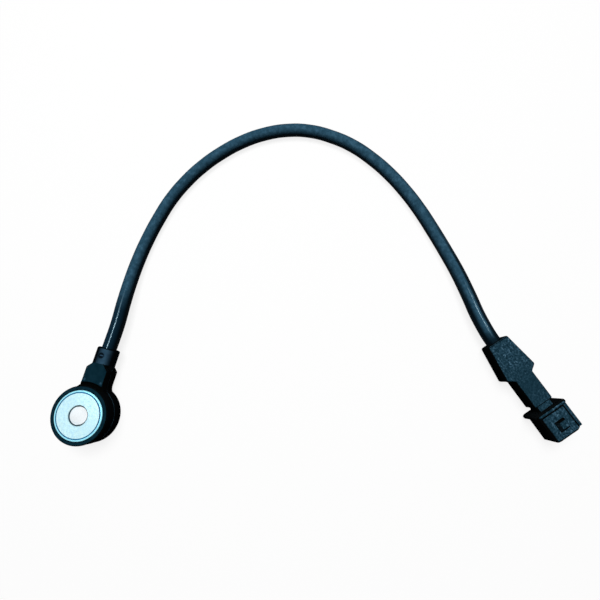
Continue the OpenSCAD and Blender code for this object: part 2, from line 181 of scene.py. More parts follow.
# The lead leaves the boss along the neck
OUT = (-sin(radians(NECK_TURN)), cos(radians(NECK_TURN)), 0)
STRAIGHT = 13


def mm(x, y, z):
    """A point or a length in millimetres, in metres"""
    return Vector((x, y, z)) * MM


# Camera

def place_camera():
    """The photo's view: close above the table, looking down past the head's right side"""
    azimuth, elevation, roll = radians(72.2), radians(78), radians(-15)
    back = Vector((
        sin(azimuth) * cos(elevation),
        -cos(azimuth) * cos(elevation),
        sin(elevation),
    ))
    level = Vector((cos(azimuth), sin(azimuth), 0))
    rise = back.cross(level)
    right = cos(roll) * level + sin(roll) * rise
    up = -sin(roll) * level + cos(roll) * rise
    data = bpy.data.cameras.new("camera")
    data.lens = 24
    data.sensor_width = 36
    data.clip_start = 0.01
    camera = bpy.data.objects.new("camera", data)
    bpy.context.scene.collection.objects.link(camera)
    turn = Matrix((right, up, back)).transposed().to_4x4()
    camera.matrix_world = Matrix.Translation(mm(49, 106, 205)) @ turn
    bpy.context.scene.camera = camera


place_camera()


# Modelling by hand: a few short names for what is done again and again

def deselect_all():
    if bpy.context.object and bpy.context.object.mode != "OBJECT":
        bpy.ops.object.mode_set(mode="OBJECT")
    bpy.ops.object.select_all(action="DESELECT")


def pick(piece):
    """Selects one piece and nothing else"""
    deselect_all()
    piece.select_set(True)
    bpy.context.view_layer.objects.active = piece


def edit(piece):
    """Opens a piece in edit mode with all of it selected"""
    pick(piece)
    bpy.ops.object.mode_set(mode="EDIT")
    bpy.ops.mesh.select_mode(type="VERT")
    bpy.ops.mesh.select_all(action="SELECT")


def centre(part):
    """Middle of a vertex, an edge or a face of a mesh in edit mode, in millimetres"""
    if isinstance(part, bmesh.types.BMVert):
        return part.co / MM
    corners = [v.co for v in part.verts]
    return sum(corners, Vector()) / len(corners) / MM


def choose(piece, kind, test):
    """In edit mode, selects the vertices, edges or faces that pass the test"""
    bpy.ops.mesh.select_mode(type=kind)
    bpy.ops.mesh.select_all(action="DESELECT")
    mesh = bmesh.from_edit_mesh(piece.data)
    parts = {"VERT": mesh.verts, "EDGE": mesh.edges, "FACE": mesh.faces}[kind]
    for part in parts:
        if test(part):
            part.select_set(True)
    bmesh.update_edit_mesh(piece.data)


def block(name, low, high):
    """A box between two corners, in millimetres"""
    deselect_all()
    low, high = Vector(low), Vector(high)
    bpy.ops.mesh.primitive_cube_add(size=1, location=(low + high) / 2 * MM)
    piece = bpy.context.object
    piece.name = name
    piece.scale = (high - low) * MM
    bpy.ops.object.transform_apply(location=True, rotation=True, scale=True)
    return piece


def round_rod(name, start, end, radius, sides=64):
    """A cylinder from one point to another, in millimetres"""
    deselect_all()
    start, end = Vector(start), Vector(end)
    bpy.ops.mesh.primitive_cylinder_add(
        vertices=sides, radius=radius * MM, depth=(end - start).length * MM,
        location=(start + end) / 2 * MM,
    )
    piece = bpy.context.object
    piece.name = name
    piece.rotation_euler = (end - start).to_track_quat("Z", "Y").to_euler()
    bpy.ops.object.transform_apply(location=True, rotation=True, scale=True)
    return piece


def bevel(width, segments):
    """Rounds the selected edges, in edit mode"""
    bpy.ops.mesh.bevel(
        offset=width * MM, offset_type="OFFSET", segments=segments, profile=0.5,
        affect="EDGES", clamp_overlap=True,
    )


def along_x(edge):
    way = (edge.verts[1].co - edge.verts[0].co).normalized()
    return abs(way.x) > 0.95


def round_bar(name, x1, x2, width, height, radius):
    """A bar along X whose long edges are round"""
    bar = block(name, (x1, -width / 2, -height / 2), (x2, width / 2, height / 2))
    edit(bar)
    choose(bar, "EDGE", along_x)
    bevel(radius, 6)
    bpy.ops.object.mode_set(mode="OBJECT")
    return bar


def turned(name, profile, steps=128):
    """A closed profile of (radius, height) points, spun about the bore"""
    deselect_all()
    bpy.ops.mesh.primitive_plane_add(size=MM, location=(0, 0, 0))
    piece = bpy.context.object
    piece.name = name
    edit(piece)
    bpy.ops.mesh.merge(type="CENTER")
    bpy.ops.transform.translate(value=mm(profile[0][0], 0, profile[0][1]))
    for here, there in zip(profile, profile[1:] + profile[:1]):
        step = mm(there[0] - here[0], 0, there[1] - here[1])
        bpy.ops.mesh.extrude_region_move(TRANSFORM_OT_translate={"value": step})
    bpy.ops.mesh.select_all(action="SELECT")
    bpy.ops.mesh.remove_doubles(threshold=MERGE)
    bpy.ops.mesh.spin(steps=steps, angle=2 * pi, center=(0, 0, 0), axis=(0, 0, 1))
    tidy_normals()
    bpy.ops.object.mode_set(mode="OBJECT")
    return piece


def tidy_normals():
    bpy.ops.mesh.select_all(action="SELECT")
    bpy.ops.mesh.remove_doubles(threshold=MERGE)
    bpy.ops.mesh.normals_make_consistent(inside=False)


def merge_close(piece):
    """Merges what the cuts left closer than a thousandth of a millimetre"""
    edit(piece)
    bpy.ops.mesh.remove_doubles(threshold=MERGE)
    bpy.ops.object.mode_set(mode="OBJECT")


def arc(x, z, radius, start, end, points=6):
    """Points of an arc round (x, z), with its angles in degrees"""
    turns = [radians(start + (end - start) * k / points) for k in range(points + 1)]
    return [(x + radius * cos(t), z + radius * sin(t)) for t in turns]


def combine(piece, others, how):
    """Joins other solids to a piece, or cuts them out of it, and deletes them"""
    for other in others:
        pick(piece)
        tool = piece.modifiers.new("combine", "BOOLEAN")
        tool.operation = how
        tool.solver = "EXACT"
        tool.object = other
        bpy.ops.object.modifier_apply(modifier=tool.name)
        bpy.data.objects.remove(other, do_unlink=True)


def smooth(piece, angle=30):
    """Shades a piece smooth, and keeps its edges sharp where they turn by more than the angle"""
    pick(piece)
    bpy.ops.object.shade_smooth_by_angle(angle=radians(angle))


def turn_to_neck(piece):
    pick(piece)
    piece.rotation_euler = (0, 0, radians(NECK_TURN))
    bpy.ops.object.transform_apply(location=True, rotation=True, scale=True)


def move_to_plug(piece):
    pick(piece)
    piece.location = mm(*PLUG_AT)
    bpy.ops.object.transform_apply(location=True, rotation=True, scale=True)


# The lead, from end to end

def lead_route():
    """Down from the boss, round on the surface and up to the plug, in millimetres"""
    leave = Vector(OUT) * BOSS_END + Vector((0, 0, BOSS_Z))
    low = LEAD_R
    places = [
        leave,
        leave + Vector(OUT) * STRAIGHT,
        (-39.6, 40.9, 6.3),
        (-48.8, 49.1, 4.9),
        (-57.7, 58.3, 3.9),
        (-65.5, 68.1, low),
        (-72.5, 78.7, low),
        (-78.6, 89.7, low),
        (-83.2, 101.8, low),
        (-86.1, 114.4, low),
        (-87.2, 127.5, low),
        (-86.5, 140.7, low),
        (-83.6, 153.4, low),
        (-78.1, 165.7, low),
        (-70.2, 176.1, low),
        (-60.2, 184.3, low),
        (-49, 190.6, low),
        (-36.9, 194.7, low),
        (-24.5, 197.3, low),
        (-11.5, 198.5, low),
        (1.5, 198.5, low),
        (14.5, 197.5, low),
        (27.5, 196, 3.7),
        (40.1, 193.8, 4.7),
        (52.5, 190.7, 6),
        (PLUG_AT[0] - STRAIGHT, PLUG_AT[1] + 1.5, PLUG_AT[2] - 0.2),
        PLUG_AT,
    ]
    return [Vector(place) for place in places]


def make_lead():
    """A smooth curve through the route, as thick as the jacket"""
    deselect_all()
    route = lead_route()
    bpy.ops.curve.primitive_bezier_curve_add(location=(0, 0, 0))
    piece = bpy.context.object
    piece.name = "jacketed_lead"
    line = piece.data
    line.splines.clear()
    spline = line.splines.new("BEZIER")
    spline.bezier_points.add(len(route) - 1)
    for point, place in zip(spline.bezier_points, route):
        point.co = place * MM
        point.handle_left_type = "AUTO"
        point.handle_right_type = "AUTO"
    last = spline.bezier_points[-1]
    last.handle_left_type = "FREE"
    last.handle_left = last.co - mm(4, 0, 0)
    last.handle_right_type = "FREE"
    last.handle_right = last.co + mm(4, 0, 0)
    spline.resolution_u = 12
    line.dimensions = "3D"
    line.bevel_depth = LEAD_R * MM
    line.bevel_resolution = 6
    line.use_fill_caps = True
    return piece


lead = make_lead()


# Sleeve

def make_sleeve():
    """Turned steel: tube and seat flange, with the land, its groove and the outer ring"""
    rim = SLEEVE_H - RING_DROP
    low = SLEEVE_H - GROOVE_DEPTH
    flange = SLEEVE_H - SEAT_T
    groove_r = LAND_R + GROOVE_W
    piece = turned("turned_sleeve", [
        (BORE_R + BORE_BREAK, 0), (SLEEVE_R - SLEEVE_BREAK, 0), (SLEEVE_R, SLEEVE_BREAK),
        (SLEEVE_R, flange), (SEAT_R, flange),
        *arc(SEAT_R - SEAT_ROUND, rim - SEAT_ROUND, SEAT_ROUND, 0, 90, 5),
        (groove_r + GROOVE_BREAK, rim), (groove_r, rim - GROOVE_BREAK), (groove_r, low),
        (LAND_R, low), (LAND_R, SLEEVE_H - LAND_BREAK), (LAND_R - LAND_BREAK, SLEEVE_H),
        (BORE_R + MOUTH_CHAMFER, SLEEVE_H), (BORE_R, SLEEVE_H - MOUTH_CHAMFER),
        (BORE_R, BORE_BREAK),
    ], steps=160)
    smooth(piece, 25)
    return piece


# Housing

def body():
    """The moulded ring: round edges, a fine parting ridge, and room for the sleeve and stack"""
    r = BODY_ROUND
    mid = PARTING_Z
    ridge = PARTING_RIDGE
    seat_hole = SEAT_R + FIT
    sleeve_hole = SLEEVE_R + FIT
    ledge = SLEEVE_H - SEAT_T - FIT
    return turned("moulded_housing", [
        (sleeve_hole, BODY_LOW + RECESS_DEPTH), (RECESS_R, BODY_LOW + RECESS_DEPTH),
        (RECESS_R, BODY_LOW),
        *arc(BODY_R - r, BODY_LOW + r, r, -90, 0),
        (BODY_R, mid - ridge), (BODY_R + ridge, mid), (BODY_R, mid + ridge),
        *arc(BODY_R - r, BODY_TOP - r, r, 0, 90),
        (seat_hole + BODY_BREAK, BODY_TOP), (seat_hole, BODY_TOP - BODY_BREAK),
        (seat_hole, ledge),
        (CAVITY_R, ledge), (CAVITY_R, CAVITY_LOW), (sleeve_hole, CAVITY_LOW),
    ])


def neck_outline():
    """Right half of the neck seen from above, from the bore: a hollow curve out of the body,
    the side, and a shoulder that slopes to the top edge"""
    half = NECK_W / 2
    curve_x = half + NECK_FILLET
    curve_y = sqrt((BODY_R - FILLET_SINK + NECK_FILLET) ** 2 - curve_x ** 2)
    turn = degrees(atan2(curve_y, curve_x))
    curve = arc(curve_x, curve_y, NECK_FILLET, 180 + turn, 180, 12)
    return [(0, ROOT_Y), (curve[0][0], ROOT_Y), *curve,
            (half, SHOULDER_Y), (NECK_TOP_W / 2, NECK_END), (0, NECK_END)]


def neck():
    """Plate with two sloping shoulders, its outer edges rounded: half its outline is drawn,
    mirrored, filled and pulled up"""
    deselect_all()
    bpy.ops.mesh.primitive_plane_add(size=MM, location=(0, 0, 0))
    piece = bpy.context.object
    piece.name = "neck"
    edit(piece)
    bpy.ops.mesh.merge(type="CENTER")
    half = neck_outline()
    outline = half + [(-x, y) for x, y in reversed(half[1:-1])]
    bpy.ops.transform.translate(value=mm(outline[0][0], outline[0][1], NECK_LOW))
    for here, there in zip(outline, outline[1:] + outline[:1]):
        step = mm(there[0] - here[0], there[1] - here[1], 0)
        bpy.ops.mesh.extrude_region_move(TRANSFORM_OT_translate={"value": step})
    bpy.ops.mesh.select_all(action="SELECT")
    bpy.ops.mesh.remove_doubles(threshold=MERGE)
    bpy.ops.mesh.edge_face_add()
    rise = mm(0, 0, NECK_TOP - NECK_LOW)
    bpy.ops.mesh.extrude_region_move(TRANSFORM_OT_translate={"value": rise})
    tidy_normals()
    outside = ROOT_Y + SLACK
    choose(piece, "EDGE", lambda e: centre(e).y > outside and e.calc_face_angle(0) > radians(20))
    bevel(PLATE_ROUND, 4)
    bpy.ops.object.mode_set(mode="OBJECT")
    return piece


def boss():
    """Round boss that holds the lead, with a rounded edge at its face"""
    piece = round_rod("boss", (0, SHOULDER_Y - 1, BOSS_Z), (0, BOSS_END, BOSS_Z), BOSS_R, 96)
    edit(piece)
    choose(piece, "EDGE", lambda e: all(v.co.y > (BOSS_END - SLACK) * MM for v in e.verts))
    bevel(BOSS_ROUND, 6)
    bpy.ops.object.mode_set(mode="OBJECT")
    return piece


def wire_pocket():
    """Hollow for the contact tabs, the crimps and the cores"""
    roof = SLEEVE_H - SEAT_T
    riser = block("riser", (-POCKET_W, RISER_Y, POCKET_LOW), (POCKET_W, RISER_END, roof))
    run = block("run", (-POCKET_W, RISER_Y, POCKET_LOW), (POCKET_W, POCKET_END, POCKET_TOP))
    return [riser, run]


def foot_groove():
    """Groove that sets the neck's plate off from the ring: a V spun about the bore"""
    above = 0.2
    slope = FOOT_W / 2 / FOOT_DEPTH
    middle = BODY_R + FOOT_W / 2
    return turned("foot_groove", [
        (BODY_R, NECK_TOP), (middle, NECK_TOP - FOOT_DEPTH),
        (middle + slope * (FOOT_DEPTH + above), NECK_TOP + above), (BODY_R, NECK_TOP + above),
    ], steps=96)


def make_housing():
    piece = neck()
    combine(piece, [foot_groove()], "DIFFERENCE")
    combine(piece, [boss()], "UNION")
    turn_to_neck(piece)
    ring = body()
    combine(ring, [piece], "UNION")
    piece = ring
    grip = round_rod(
        "grip", (0, POCKET_END - FIT, BOSS_Z), (0, BOSS_END + PAST, BOSS_Z),
        LEAD_R + FIT)
    dimple_y = (NECK_END + BOSS_END) / 2
    dimple_low = BOSS_Z + BOSS_R - DIMPLE_DEPTH
    dimple = round_rod(
        "dimple", (0, dimple_y, dimple_low), (0, dimple_y, dimple_low + 2 * PAST), DIMPLE_R, 48)
    pin_x, pin_y = PIN_AT
    pins = [
        round_rod(
            "pin_mark", (x, pin_y, NECK_TOP - PIN_DEPTH), (x, pin_y, NECK_TOP + PAST), PIN_R, 32)
        for x in (-pin_x, pin_x)
    ]
    cuts = wire_pocket() + [grip, dimple, *pins]
    for cut in cuts:
        turn_to_neck(cut)
    combine(piece, cuts, "DIFFERENCE")
    vestige = block(
        "gate_vestige", (-GATE_L / 2, dimple_y - GATE_W / 2, dimple_low - 0.2),
        (GATE_L / 2, dimple_y + GATE_W / 2, dimple_low + 0.2))
    turn_to_neck(vestige)
    combine(piece, [vestige], "UNION")
    merge_close(piece)
    smooth(piece)
    return piece


# Plug

def boot_half(x):
    """Half the boot's width at x: it widens from the lead, then falls in an S"""
    if x <= BOOT_X2:
        return (BOOT_W1 + (BOOT_W2 - BOOT_W1) * x / BOOT_X2) / 2
    if x >= BOOT_X3:
        return BOOT_W3 / 2
    fall = (1 + cos(pi * (x - BOOT_X2) / (BOOT_X3 - BOOT_X2))) / 2
    return (BOOT_W3 + (BOOT_W2 - BOOT_W3) * fall) / 2


def make_boot():
    """Moulded rear of the plug: a bar cut into stations, each drawn to its width"""
    half = BOOT_W1 / 2
    piece = block("plug_boot", (0, -half, -BOOT_T / 2), (BOOT_L, half, BOOT_T / 2))
    edit(piece)
    steps = 10
    stations = [BOOT_X2 + (BOOT_X3 - BOOT_X2) * k / steps for k in range(steps + 1)]
    for x in stations:
        bpy.ops.mesh.select_all(action="SELECT")
        bpy.ops.mesh.bisect(plane_co=mm(x, 0, 0), plane_no=(1, 0, 0))
    for x in stations + [BOOT_L]:
        choose(piece, "VERT", lambda v: abs(v.co.x - x * MM) < ON_PLANE)
        bpy.ops.transform.resize(
            value=(1, boot_half(x) / half, 1), center_override=mm(x, 0, 0))
    # The upright edges at the lead, the level ones at the stem, then all that are still sharp
    choose(piece, "EDGE", lambda e: abs(centre(e).x) < 0.01 and abs(centre(e).z) < 0.01)
    bevel(BOOT_FACE_ROUND, 5)
    choose(piece, "EDGE", lambda e: abs(centre(e).x - BOOT_L) < 0.01 and abs(centre(e).y) < 0.01)
    bevel(BOOT_END_ROUND, 4)
    choose(piece, "EDGE", lambda e: e.calc_face_angle(0) > radians(50))
    bevel(BOOT_EDGE_ROUND, 4)
    bpy.ops.object.mode_set(mode="OBJECT")
    hole = round_rod("hole", (-PAST, 0, 0), (PLUG_GRIP + FIT, 0, 0), LEAD_R + FIT)
    pocket = block(
        "pocket", (PLUG_GRIP, -PLUG_POCKET_W, -PLUG_POCKET_H / 2),
        (BOOT_L + PAST, PLUG_POCKET_W, PLUG_POCKET_H / 2))
    combine(piece, [hole, pocket], "DIFFERENCE")
    merge_close(piece)
    move_to_plug(piece)
    smooth(piece)
    return piece


def hood():
    """Thin-walled hood, with a chamfer round its mouth and a V groove at the flange's foot"""
    piece = round_bar("plug_shell_piece", FLOOR_X, MOUTH_X - HOOD_LIP, HOOD_W, HOOD_H, HOOD_ROUND)
    edit(piece)
    deep = HOOD_X + ROOT_GROOVE
    for x in (HOOD_X, deep, deep + ROOT_GROOVE):
        bpy.ops.mesh.select_all(action="SELECT")
        bpy.ops.mesh.bisect(plane_co=mm(x, 0, 0), plane_no=(1, 0, 0))
    choose(piece, "VERT", lambda v: abs(v.co.x - deep * MM) < ON_PLANE)
    bpy.ops.transform.resize(
        value=(1, 1 - 2 * ROOT_GROOVE / HOOD_W, 1 - 2 * ROOT_GROOVE / HOOD_H),
        center_override=mm(deep, 0, 0))
    choose(piece, "FACE", lambda f: f.normal.x > 0.9)
    bpy.ops.mesh.extrude_region_move(TRANSFORM_OT_translate={"value": mm(HOOD_LIP, 0, 0)})
    bpy.ops.transform.resize(
        value=(1, 1 - 2 * HOOD_LIP / HOOD_W, 1 - 2 * HOOD_LIP / HOOD_H),
        center_override=mm(MOUTH_X, 0, 0))
    bpy.ops.object.mode_set(mode="OBJECT")
    inside = round_bar(
        "inside", FLOOR_X, MOUTH_X + PAST, HOOD_W - 2 * HOOD_WALL, HOOD_H - 2 * HOOD_WALL,
        HOOD_INNER_ROUND)
    return piece, inside


def flange():
    """Plate with round corners and rounded edges, between the stem and the hood"""
    piece = round_bar("flange", FLANGE_X, HOOD_X, FLANGE_W, FLANGE_H, FLANGE_ROUND)
    edit(piece)
    choose(piece, "EDGE", lambda e: e.calc_face_angle(0) > radians(60))
    bevel(FLANGE_EDGE_ROUND, 5)
    bpy.ops.object.mode_set(mode="OBJECT")
    return piece


def nub():
    """Raised catch for the mating housing's clip, with sloping sides"""
    base = HOOD_H / 2
    x = HOOD_X + NUB_X
    shift = NUB_W / 2 - NUB_SIDE - NUB_TOP_W / 2
    piece = block("nub", (x - NUB_L / 2, -NUB_W / 2, base - 0.5), (x + NUB_L / 2, NUB_W / 2, base))
    edit(piece)
    choose(piece, "FACE", lambda f: f.normal.z > 0.9)
    bpy.ops.mesh.extrude_region_move(TRANSFORM_OT_translate={"value": mm(0, 0, NUB_H)})
    bpy.ops.transform.resize(
        value=(NUB_TOP_L / NUB_L, NUB_TOP_W / NUB_W, 1),
        center_override=mm(x, 0, base + NUB_H))
    bpy.ops.transform.translate(value=mm(0, shift, 0))
    choose(piece, "EDGE", lambda e: centre(e).z > base + SLACK)
    bevel(NUB_ROUND, 3)
    bpy.ops.object.mode_set(mode="OBJECT")
    return piece


def keying_rib():
    """Rib along one side of the hood, which lets the mating housing on one way only"""
    high = HOOD_H / 2 - RIB_DROP
    side = HOOD_W / 2
    piece = block(
        "keying_rib", (FLOOR_X, side - 0.5, high - RIB_H),
        (MOUTH_X - HOOD_LIP, side + RIB_W, high))
    edit(piece)
    choose(piece, "EDGE", lambda e: centre(e).y > side + SLACK)
    bevel(RIB_ROUND, 3)
    bpy.ops.object.mode_set(mode="OBJECT")
    return piece


def rib_groove():
    """V groove that sets the keying rib off from the hood's upper face"""
    y = HOOD_W / 2 - RIB_GROOVE_IN
    high = HOOD_H / 2 - RIB_GROOVE_DROP
    return round_rod(
        "rib_groove", (HOOD_X, y, high), (MOUTH_X + PAST, y, high), RIB_GROOVE_R, 4)


def blade_slots():
    """Slots that the blades pass through: narrow in the stem, wide in the floor"""
    cuts = []
    for side in (-1, 1):
        y = side * BLADE_PITCH / 2
        for x1, x2, width in (
            (BOOT_L - KEY_L - PAST, FLARE_X, SHANK_W),
            (FLARE_X - FIT, FLOOR_X + PAST, BLADE_W),
        ):
            half = width / 2 + FIT
            tall = BLADE_T / 2 + FIT
            cuts.append(block("slot", (x1, y - half, -tall), (x2, y + half, tall)))
    return cuts


def make_plug_shell():
    """Stem, flange and hood in one, with the key that holds it in the boot"""
    piece, inside = hood()
    overlap = FLANGE_T / 2
    stem = round_bar("stem", BOOT_L, FLANGE_X + overlap, STEM_W, STEM_H, STEM_ROUND)
    key = round_bar(
        "key", BOOT_L - KEY_L, BOOT_L + overlap, 2 * (PLUG_POCKET_W - FIT),
        PLUG_POCKET_H - 2 * FIT, KEY_ROUND)
    combine(piece, [flange(), stem, key, nub(), keying_rib()], "UNION")
    combine(piece, [inside, rib_groove()] + blade_slots(), "DIFFERENCE")
    merge_close(piece)
    move_to_plug(piece)
    smooth(piece)
    return piece


# Materials

def linear(code):
    """An sRGB hex colour as linear red, green, blue and alpha"""
    parts = [int(code[k:k + 2], 16) / 255 for k in (1, 3, 5)]
    line = [c / 12.92 if c <= 0.04045 else ((c + 0.055) / 1.055) ** 2.4 for c in parts]
    return (*line, 1)


def add(tree, kind, inputs=None, **settings):
    """A node with its settings, and its inputs set or linked"""
    made = tree.nodes.new(kind)
    for name, value in settings.items():
        setattr(made, name, value)
    for name, value in (inputs or {}).items():
        if isinstance(value, bpy.types.NodeSocket):
            tree.links.new(value, made.inputs[name])
        else:
            made.inputs[name].default_value = value
    return made


def finish_of(name, roughness, metallic=0.0, specular=None):
    """A new material with its shader, whose constants are set on its own sockets"""
    material = bpy.data.materials.new(name)
    material.use_nodes = True
    tree = material.node_tree
    shader = tree.nodes["Principled BSDF"]
    shader.inputs["Roughness"].default_value = roughness
    shader.inputs["Metallic"].default_value = metallic
    if specular is not None:
        shader.inputs["Specular IOR Level"].default_value = specular
    return material, tree, shader


def place_on(tree):
    """Where a point lies on the part, in metres"""
    return add(tree, "ShaderNodeTexCoord").outputs["Object"]


def noise(tree, where, size, detail=3.0, roughness=0.5):
    """Noise whose grains are about as large as the size, in millimetres"""
    made = add(tree, "ShaderNodeTexNoise", {
        "Vector": where, "Scale": 1 / (size * MM), "Detail": detail, "Roughness": roughness})
    return made.outputs["Fac"]


def ramp(tree, value, stops):
    """Colours along a value, as (place, hex colour) stops"""
    made = add(tree, "ShaderNodeValToRGB", {"Fac": value})
    line = made.color_ramp
    for k, (place, code) in enumerate(stops):
        stop = line.elements[k] if k < 2 else line.elements.new(place)
        stop.position = place
        stop.color = linear(code)
    return made.outputs["Color"]


def span(tree, value, low, high, to_low, to_high):
    """A value carried from one range to another"""
    made = add(tree, "ShaderNodeMapRange", {
        "Value": value, "From Min": low, "From Max": high, "To Min": to_low, "To Max": to_high})
    return made.outputs["Result"]


def bump(tree, shader, height, depth):
    """Relief of a depth in millimetres"""
    made = add(tree, "ShaderNodeBump", {
        "Height": height, "Distance": depth * MM, "Strength": 1.0})
    tree.links.new(made.outputs["Normal"], shader.inputs["Normal"])


def faces_up(tree, start, full):
    """0 on faces that stand upright, 1 on faces that lie flat, by the height of their normal"""
    normal = add(tree, "ShaderNodeNewGeometry").outputs["Normal"]
    parts = add(tree, "ShaderNodeSeparateXYZ", {"Vector": normal})
    flat = add(tree, "ShaderNodeMath", {0: parts.outputs["Z"]}, operation="ABSOLUTE")
    return span(tree, flat.outputs[0], start, full, 0, 1)


def facing(tree, way, start, full):
    """0 on faces turned away from a direction, 1 on faces that look along it"""
    normal = add(tree, "ShaderNodeNewGeometry").outputs["Normal"]
    turned_to = add(tree, "ShaderNodeVectorMath", {0: normal, 1: way}, operation="DOT_PRODUCT")
    return span(tree, turned_to.outputs["Value"], start, full, 0, 1)


def along(tree, where, way, start, end):
    """0 before a distance along a direction and 1 after another, both in millimetres"""
    far = add(tree, "ShaderNodeVectorMath", {0: where, 1: way}, operation="DOT_PRODUCT")
    return span(tree, far.outputs["Value"], start * MM, end * MM, 0, 1)


def combined(tree, how, first, second):
    """Two values put together, such as the larger of them or their product"""
    return add(tree, "ShaderNodeMath", {0: first, 1: second}, operation=how).outputs[0]


def near(tree, where, place, inside, outside):
    """1 within a distance of a place, in millimetres, and 0 farther out"""
    away = add(tree, "ShaderNodeVectorMath", {0: where, 1: mm(*place)}, operation="DISTANCE")
    return span(tree, away.outputs["Value"], inside * MM, outside * MM, 1, 0)


def blend(tree, factor, first, second):
    """Mix of two colours, each a socket or a hex code"""
    sides = [c if isinstance(c, bpy.types.NodeSocket) else linear(c) for c in (first, second)]
    made = add(tree, "ShaderNodeMix", {
        "Factor": factor, 6: sides[0], 7: sides[1]}, data_type="RGBA")
    return made.outputs[2]


def moulded_nylon():
    """Black glass-filled nylon: the faces that the mould halves press have a fine blue-grey
    bloom as their lit colour, the upright faces are painted near-black as shade, the boss has
    a painted highlight that fades into painted shade, and a hairline painted pale as a
    highlight shows where the halves meet"""
    material, tree, shader = finish_of("moulded_nylon", roughness=0.55, specular=0.0)
    where = place_on(tree)
    flow = noise(tree, where, 3.0, detail=4)
    bloom = ramp(tree, flow, [(0.35, "#0a2632"), (0.65, "#112f3c")])
    # Flat faces get the blue-grey bloom as their lit colour; upright faces get painted shade,
    # darkest on sloping faces such as the groove's
    sides = blend(tree, faces_up(tree, 0.3, 0.6), "#13171a", "#070807")
    plate = blend(tree, faces_up(tree, 0.8, 0.99), sides, bloom)
    # Painted highlight on the boss, along the side turned 15 degrees from the top about the lead,
    # with painted shade elsewhere
    painted_boss_highlight = ramp(tree, flow, [(0.35, "#2b475c"), (0.65, "#35556b")])
    highlight_way = Matrix.Rotation(radians(15), 3, OUT) @ Vector((0, 0, 1))
    painted_light_and_shade = facing(tree, highlight_way, 0.7, 1.0)
    boss_lit = blend(tree, combined(tree, "MULTIPLY", painted_light_and_shade, painted_light_and_shade), "#060b10", painted_boss_highlight)
    on_boss = along(tree, where, OUT, NECK_END - 0.15, NECK_END)
    colour = blend(tree, on_boss, plate, boss_lit)
    # Marks of the two ejector pins, paler than the plate
    turn = Matrix.Rotation(radians(NECK_TURN), 3, "Z")
    pin_x, pin_y = PIN_AT
    for x in (-pin_x, pin_x):
        pin = turn @ Vector((x, pin_y, NECK_TOP))
        mark = near(tree, where, pin, PIN_R - 0.4, PIN_R + 0.1)
        colour = blend(tree, mark, colour, "#2b4c60")
    # Painted shade darkens the gate's recess on the boss, and the broken gate across it is painted
    # pale as a glint
    gate_y = (NECK_END + BOSS_END) / 2
    gate_at = Vector(OUT) * gate_y + Vector((0, 0, BOSS_Z + BOSS_R - DIMPLE_DEPTH))
    painted_recess_shade = near(tree, where, gate_at, DIMPLE_R, DIMPLE_R + 0.5)
    colour = blend(tree, painted_recess_shade, colour, "#0a1720")
    behind = along(tree, where, OUT, gate_y - GATE_W / 2 - 0.1, gate_y - GATE_W / 2)
    before = along(tree, where, OUT, gate_y + GATE_W / 2 + 0.1, gate_y + GATE_W / 2)
    across = combined(tree, "MULTIPLY", behind, before)
    within = near(tree, where, gate_at, GATE_L / 2, GATE_L / 2 + 0.1)
    # Painted glint: the broken gate is drawn pale
    painted_gate_glint = combined(tree, "MULTIPLY", across, within)
    colour = blend(tree, painted_gate_glint, colour, "#35526a")
    # The parting line, painted pale 0.28 mm wide as a highlight on its ridge so that it shows
    height = add(tree, "ShaderNodeSeparateXYZ", {"Vector": where}).outputs["Z"]
    off = combined(tree, "SUBTRACT", height, PARTING_Z * MM)
    line = span(tree, combined(tree, "MULTIPLY", off, off), 0, (0.14 * MM) ** 2, 1, 0)
    colour = blend(tree, line, colour, "#395564")
    tree.links.new(colour, shader.inputs["Base Color"])
    grain = noise(tree, where, 0.25, detail=2)
    tree.links.new(span(tree, grain, 0.3, 0.7, 0.5, 0.65), shader.inputs["Roughness"])
    bump(tree, shader, grain, 0.012)
    return material


def eroded_nylon():
    """Black nylon from a spark-eroded mould: its flat faces are matt blue-grey, with pale specks
    of painted sheen, strongest in a few patches, and its upright faces are painted black as shade"""
    material, tree, shader = finish_of("eroded_nylon", roughness=0.6, specular=0.0)
    where = place_on(tree)
    specks = noise(tree, where, 1.0, detail=6, roughness=0.75)
    calm = ramp(tree, specks, [(0.36, "#122d3a"), (0.5, "#1b3846"), (0.64, "#264555")])
    # The pale specks are the grain's painted sheen
    dust_and_painted_light = ramp(tree, specks, [
        (0.38, "#0d2430"), (0.48, "#1d3a49"), (0.57, "#375a6e"), (0.66, "#6d91a8")])
    # Painted sheen: the specks are palest round three spots
    painted_sheen_spots = [
        near(tree, where, Vector(PLUG_AT) + Vector((x, y, BOOT_T / 2)), inside, outside)
        for x, y, inside, outside in (
            (8, 0, 6, 14), (HOOD_X + 3, -1, 6, 14), (BOOT_L + 1.3, 0, 1.4, 4))
    ]
    wear_and_sheen = combined(tree, "MAXIMUM", combined(tree, "MAXIMUM", *painted_sheen_spots[:2]), painted_sheen_spots[2])
    patches = span(tree, noise(tree, where, 5.0, detail=2), 0.4, 0.56, 0.35, 1)
    lit = blend(tree, combined(tree, "MULTIPLY", wear_and_sheen, patches), calm, dust_and_painted_light)
    # Upright faces get painted shade, darkest on sloping faces; flat faces keep the lit colour
    sides = blend(tree, faces_up(tree, 0.3, 0.6), "#15191b", "#080807")
    colour = blend(tree, faces_up(tree, 0.83, 0.98), sides, lit)
    tree.links.new(colour, shader.inputs["Base Color"])
    tree.links.new(span(tree, specks, 0.3, 0.7, 0.7, 0.5), shader.inputs["Roughness"])
    bump(tree, shader, specks, 0.05)
    return material


